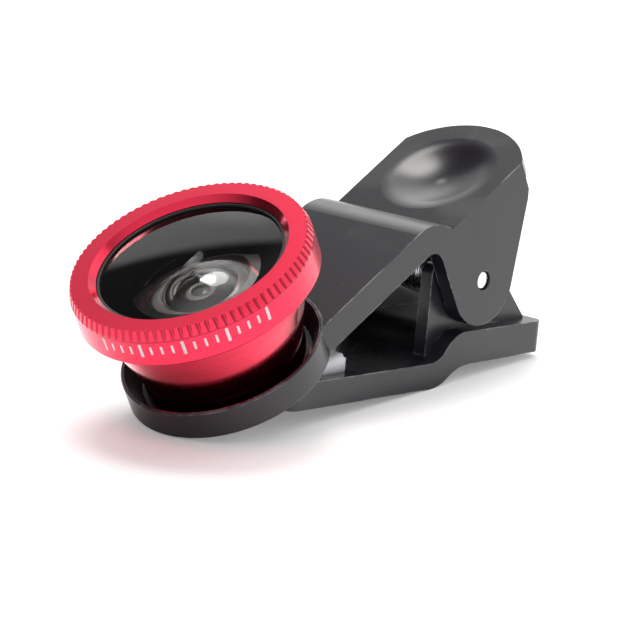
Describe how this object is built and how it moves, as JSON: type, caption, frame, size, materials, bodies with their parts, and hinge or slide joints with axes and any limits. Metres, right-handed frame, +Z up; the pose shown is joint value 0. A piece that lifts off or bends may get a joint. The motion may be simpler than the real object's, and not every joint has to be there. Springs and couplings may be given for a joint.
{
  "type": "clip on phone lens",
  "caption": "Sprung black plastic clip with a dished thumb pad and a wide red fisheye lens screwed into the ring at the end of its upper arm.",
  "frame": {"origin": "middle of the box round the closed clip, on the table it stands on", "axes": "+X from the lens towards the grips, +Y across the clip along the hinge pin, +Z up"},
  "size_m": [0.0674, 0.0288, 0.0276],
  "materials": {
    "black_plastic": "glossy black moulded plastic",
    "black_rubber": "matt black rubber",
    "pale_silicone": "pale translucent silicone",
    "pin_steel": "dark turned steel",
    "spring_steel": "bright spring wire",
    "red_anodised": "satin red anodised",
    "black_anodised": "matt black anodised",
    "lens_glass": "clear polished glass"
  },
  "bodies": {
    "lower_arm": {"lower_arm": "black_plastic", "jaw_pad": "pale_silicone", "hinge_pin": "pin_steel", "torsion_spring": "spring_steel"},
    "upper_arm": {"upper_arm": "black_plastic", "ring_pad": "black_rubber"},
    "lens": {"lens_shell": "red_anodised", "front_retaining_ring": "black_anodised", "front_element": "lens_glass", "middle_spacer": "black_anodised", "middle_element": "lens_glass", "inner_cell": "black_anodised", "aperture_stop": "black_anodised", "rear_cell": "black_anodised", "rear_doublet_front": "lens_glass", "rear_doublet_back": "lens_glass", "rear_retaining_ring": "black_anodised"}
  },
  "joints": [
    {"name": "jaw_hinge", "type": "hinge", "parent": "lower_arm", "child": "upper_arm", "pos_m": [0.02141, 0, 0.01178], "axis": [0, 1, 0], "range_deg": [0, 30], "stiffness_Nm_per_rad": 0.15, "springref_deg": -34.38, "deforming": ["torsion_spring"]},
    {"name": "lens_turn", "type": "hinge", "parent": "upper_arm", "child": "lens", "pos_m": [-0.01372, 0, 0.00528], "axis": [-0.4355, 0, 0.9002], "continuous": true}
  ]
}
